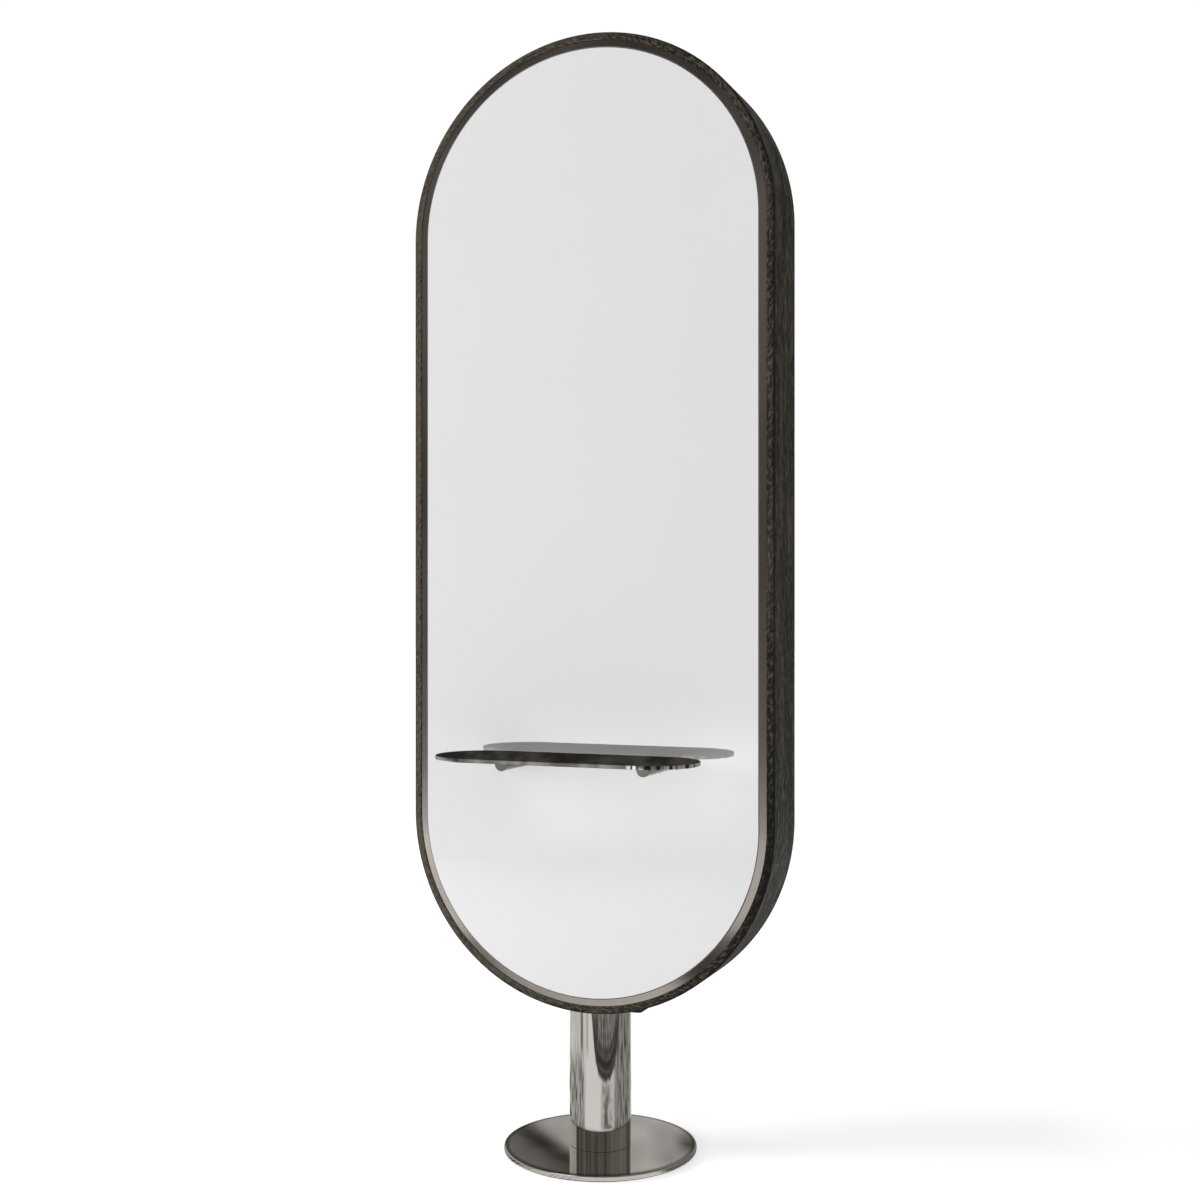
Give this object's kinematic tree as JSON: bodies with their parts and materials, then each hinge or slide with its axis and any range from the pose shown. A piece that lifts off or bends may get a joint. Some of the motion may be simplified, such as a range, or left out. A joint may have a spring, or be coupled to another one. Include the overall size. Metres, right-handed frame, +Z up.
{
  "type": "salon styling mirror",
  "caption": "Free-standing salon styling mirror: tall round-ended mirror in a dark oak case with a slim metal shelf, on a short polished column and a round floor plate.",
  "frame": {"origin": "centre of the floor pad's underside, on the floor under the column's axis", "axes": "+Z up, -Y towards whoever looks into the mirror, +X to that person's right"},
  "size_m": [0.703, 0.4285, 2.0415],
  "materials": {
    "stained_oak": "dark-stained oak veneer, satin",
    "dark_nickel": "polished dark nickel",
    "silvered_glass": "silvered glass",
    "polished_steel": "mirror-polished stainless steel",
    "black_steel": "black powder coat",
    "plain_steel": "machined steel",
    "zinc_screw": "zinc-plated steel",
    "black_rubber": "matt",
    "clear_nylon": "smooth",
    "foam_tape": "closed-cell foam",
    "fibreboard": "raw board",
    "beech": "planed"
  },
  "bodies": {
    "root": {"back_panel": "stained_oak", "backing_board": "fibreboard", "base_plate": "polished_steel", "base_screw_1": "zinc_screw", "base_screw_2": "zinc_screw", "base_screw_3": "zinc_screw", "board_screw_1": "zinc_screw", "board_screw_2": "zinc_screw", "board_screw_3": "zinc_screw", "board_screw_4": "zinc_screw", "bottom_block": "beech", "case_hoop": "stained_oak", "column_foot_flange": "plain_steel", "column_head_flange": "plain_steel", "column_tube": "polished_steel", "floor_pad": "black_rubber", "head_bolt_1": "zinc_screw", "head_bolt_2": "zinc_screw", "head_bolt_3": "zinc_screw", "head_bolt_4": "zinc_screw", "middle_rail": "beech", "mirror_glass": "silvered_glass", "mirror_tape_centre": "foam_tape", "mirror_tape_left": "foam_tape", "mirror_tape_right": "foam_tape", "panel_block_1": "beech", "panel_block_2": "beech", "panel_block_3": "beech", "panel_block_4": "beech", "panel_block_5": "beech", "panel_block_6": "beech", "panel_screw_1": "zinc_screw", "panel_screw_2": "zinc_screw", "panel_screw_3": "zinc_screw", "panel_screw_4": "zinc_screw", "panel_screw_5": "zinc_screw", "panel_screw_6": "zinc_screw", "pin_washer_left": "clear_nylon", "pin_washer_right": "clear_nylon", "rail_bolt_1": "zinc_screw", "rail_bolt_2": "zinc_screw", "rail_bolt_3": "zinc_screw", "saddle_plate": "black_steel", "shelf_pin_left": "polished_steel", "shelf_pin_right": "polished_steel", "shelf_plate": "polished_steel", "shelf_rail": "beech", "shelf_screw_left": "zinc_screw", "shelf_screw_right": "zinc_screw", "shelf_stud_left": "zinc_screw", "shelf_stud_right": "zinc_screw", "spine_foot": "plain_steel", "spine_tube": "black_steel", "stud_nut_left": "zinc_screw", "stud_nut_right": "zinc_screw", "top_rail": "beech", "trim_ring": "dark_nickel"}
  },
  "joints": []
}
